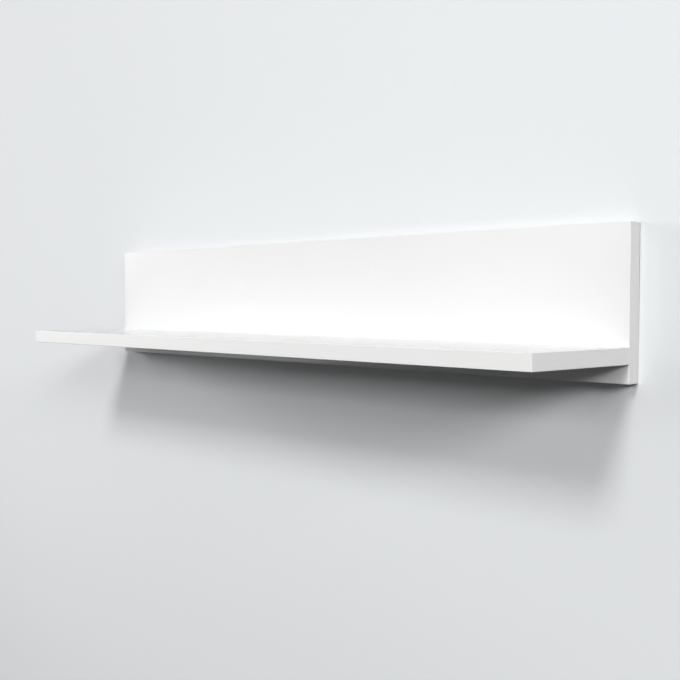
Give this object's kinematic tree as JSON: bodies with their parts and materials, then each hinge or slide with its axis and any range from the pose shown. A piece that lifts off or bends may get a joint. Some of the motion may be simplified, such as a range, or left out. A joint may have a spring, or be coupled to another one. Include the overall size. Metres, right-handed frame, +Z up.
{
  "type": "floating wall shelf",
  "caption": "Long white wall shelf: a low back panel flat to the wall with one board standing out from its front, hung on hidden keyhole plates.",
  "frame": {"origin": "midway between the round holes of the two keyhole plates, on the back face of the panel", "axes": "+X along the shelf to its right end as seen from the front, +Y into the wall, +Z up"},
  "size_m": [1.2, 0.224, 0.206],
  "materials": {
    "white_board": "particleboard with satin white melamine faces",
    "white_edge_band": "satin white plastic edge band",
    "beech": "raw fluted beech",
    "zinc_plated_screws": "bright zinc plating",
    "zinc_plated_plate": "zinc-plated sheet steel"
  },
  "bodies": {
    "root": {"back_panel": "white_board", "shelf_board": "white_board", "panel_top_edge_band": "white_edge_band", "panel_bottom_edge_band": "white_edge_band", "panel_left_edge_band": "white_edge_band", "panel_right_edge_band": "white_edge_band", "shelf_front_edge_band": "white_edge_band", "shelf_left_edge_band": "white_edge_band", "shelf_right_edge_band": "white_edge_band", "shelf_dowels": "beech", "shelf_screws": "zinc_plated_screws", "left_hanger_plate": "zinc_plated_plate", "right_hanger_plate": "zinc_plated_plate", "hanger_screws": "zinc_plated_screws"}
  },
  "joints": []
}
